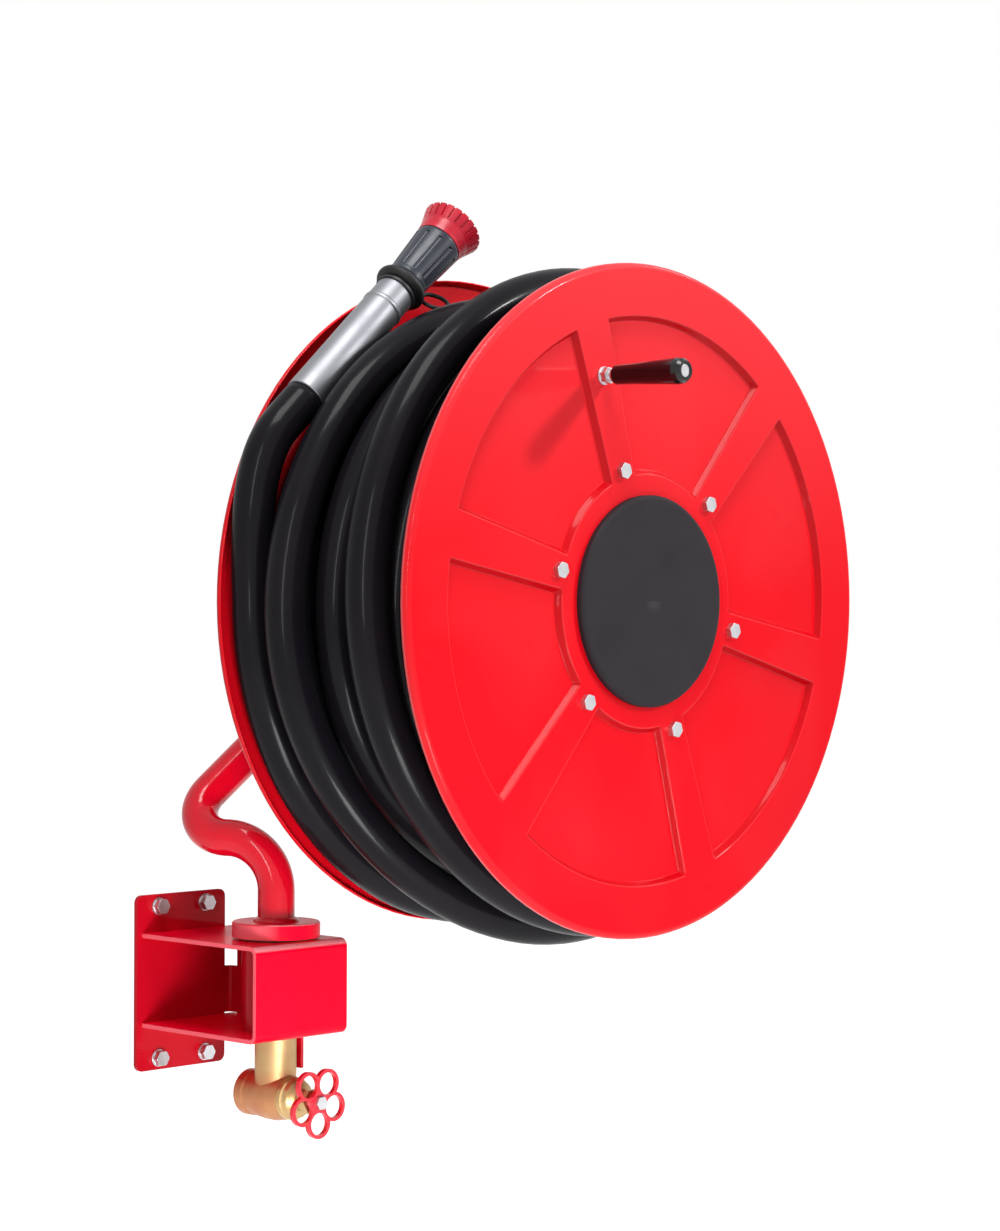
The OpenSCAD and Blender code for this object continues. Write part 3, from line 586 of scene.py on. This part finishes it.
along = Vector((cos(NOZ_ANG), sin(NOZ_ANG), 0))
foot = NOZ_D*Vector((-sin(NOZ_ANG), cos(NOZ_ANG), 0)) + Vector((0, 0, NOZ_N))
low = foot - STUB*along                      # lower end of the branch pipe
straight = low - (2*HOSE_R + 1)*along        # start of the hose's straight end
total = round((T_END - T0)*STEPS)            # points on the roll
path = [Vector((ELBOW_U, FERRULE_V - DOWN*i/6, OUT_N)) for i in range(6)]
path += [roll(T0 + (T_END - T0)*i/total) for i in range(total)]
path += [herm(roll(T_END), Vector(LEAVE), straight, ARRIVE*along, i/BLEND_STEPS)
         for i in range(BLEND_STEPS)]
path += [straight + (low - straight)*i/END_STEPS for i in range(END_STEPS + 1)]
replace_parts(piece("hose_wound", *tube(path, HOSE_R, SIDES), rubber, "drum", "black_rubber"),
            "hose_winding")

# ---- weld beads
WELD, WELD_ROOT = 4.0, 0.6                   # size of a bead, how far its root is sunk
WELD_STEPS, RIPPLE = 128, 0.10               # points round the pipe, unevenness of the bead


def weld_bead(name, origin, axis):
    """Half-round bead in the corner between the arm's pipe and what stands across axis."""
    z = Vector(axis)
    x = z.orthogonal().normalized()
    y = z.cross(x)
    root, size = PIPE_R - WELD_ROOT, WELD + WELD_ROOT
    arc = [pi/2*i/6 for i in range(7)]
    profile = [(root, -WELD_ROOT)] + [(root + size*cos(t), size*sin(t) - WELD_ROOT) for t in arc]
    m = len(profile)
    verts, faces = [], []
    for k in range(WELD_STEPS):
        a = 2*pi*k/WELD_STEPS
        ripple = RIPPLE*(sin(23*a) + 0.6*sin(37*a + 1))
        out = x*cos(a) + y*sin(a)
        verts += [Vector(origin) + (out*(r + ripple) + z*h)/1000 for r, h in profile]
        q = (k + 1) % WELD_STEPS
        for i in range(m):
            j = (i + 1) % m
            faces.append((k*m + i, q*m + i, q*m + j, k*m + j))
    piece(name, verts, faces, red_frame_painted_shade, "arm", "red_paint")


weld_bead("weld_pipe_to_flange", FLANGE_TOP, (0, 0, 1))
weld_bead("weld_pipe_to_hub", (HUB[0], HUB[1] + HUB_BACK, HUB[2]), (0, 1, 0))

# ------------------------------------------------------------------ shading of the CAD nodes kept
for o in NODES.values():
    if not o.hide_render:
        o.data.polygons.foreach_set("use_smooth", [True]*len(o.data.polygons))

# ------------------------------------------------------------------ studio
FLOOR_SIZE, FLOOR_AT = 40, (0.2, -0.2, -0.55)
FLOOR_GREY = 0.86                            # what the floor throws back on the object
FLOOR_GLOW = 0.90                            # makes it white where it is seen, shadows stay
WORLD_LIGHT = 0.17                           # on the object; the world is seen as 1, white


def seen_directly(tree):
    """1 where the camera, a mirror or glass looks at it, 0 where it lights the object."""
    rays = tree.nodes.new("ShaderNodeLightPath").outputs
    seen = rays["Is Camera Ray"]
    for kind in ("Is Glossy Ray", "Is Transmission Ray"):
        either = tree.nodes.new("ShaderNodeMath")
        either.operation = "MAXIMUM"
        tree.links.new(seen, either.inputs[0])
        tree.links.new(rays[kind], either.inputs[1])
        seen = either.outputs[0]
    return seen


def empty_tree(owner, *kinds):
    """Clears the owner's nodes and makes these instead."""
    owner.use_nodes = True
    owner.node_tree.nodes.clear()
    return owner.node_tree, *(owner.node_tree.nodes.new("ShaderNode" + kind) for kind in kinds)


floor_mat = bpy.data.materials.new("pale_floor")
tree, out, plain, glow, both, mix = empty_tree(
    floor_mat, "OutputMaterial", "BsdfDiffuse", "Emission", "AddShader", "MixShader")
plain.inputs["Color"].default_value = (FLOOR_GREY, FLOOR_GREY, FLOOR_GREY, 1)
glow.inputs["Strength"].default_value = FLOOR_GLOW
for a, b in ((plain.outputs[0], both.inputs[0]), (glow.outputs[0], both.inputs[1]),
             (seen_directly(tree), mix.inputs[0]), (plain.outputs[0], mix.inputs[1]),
             (both.outputs[0], mix.inputs[2]), (mix.outputs[0], out.inputs["Surface"])):
    tree.links.new(a, b)

floor_mesh = bpy.data.meshes.new("floor")
h = FLOOR_SIZE/2
floor_mesh.from_pydata([(-h, -h, 0), (h, -h, 0), (h, h, 0), (-h, h, 0)], [], [(0, 1, 2, 3)])
floor_mesh.materials.append(floor_mat)
floor = bpy.data.objects.new("floor", floor_mesh)
floor.location = FLOOR_AT
scene.collection.objects.link(floor)

scene.world = scene.world or bpy.data.worlds.new("world")
tree, out, sky, level = empty_tree(scene.world, "OutputWorld", "Background", "MapRange")
sky.inputs["Color"].default_value = (1, 1, 1, 1)
level.inputs["To Min"].default_value = WORLD_LIGHT
for a, b in ((seen_directly(tree), level.inputs["Value"]),
             (level.outputs["Result"], sky.inputs["Strength"]),
             (sky.outputs[0], out.inputs["Surface"])):
    tree.links.new(a, b)


def softbox(name, loc, target, size, power, spread=180.0):
    d = bpy.data.lights.new(name, "AREA")
    d.shape = "RECTANGLE"
    d.size, d.size_y = size
    d.energy = power
    d.spread = radians(spread)
    o = bpy.data.objects.new(name, d)
    o.location = loc
    o.rotation_euler = (Vector(target) - Vector(loc)).to_track_quat("-Z", "Y").to_euler()
    scene.collection.objects.link(o)


MID = (0.25, -0.25, 0.3)                     # middle of the object, nearly
BRACKET = (0.01, -0.16, -0.03)
softbox("key", (1.9, -2.6, 2.1), MID, (0.32, 0.32), 54)    # small: the handle's shadow shows
softbox("strip", (-2.6, -1.6, 1.1), MID, (0.24, 2.0), 22)
softbox("top", (-0.58, -1.02, 2.95), MID, (1.2, 1.2), 56)
softbox("rim", (2.6, -0.9, 2.35), (0, -0.1, 0), (0.6, 0.6), 10.5)
softbox("low", (-0.45, -1.15, -0.40), BRACKET, (0.35, 0.35), 1.3, 55.0)

scene.view_settings.view_transform = "Standard"
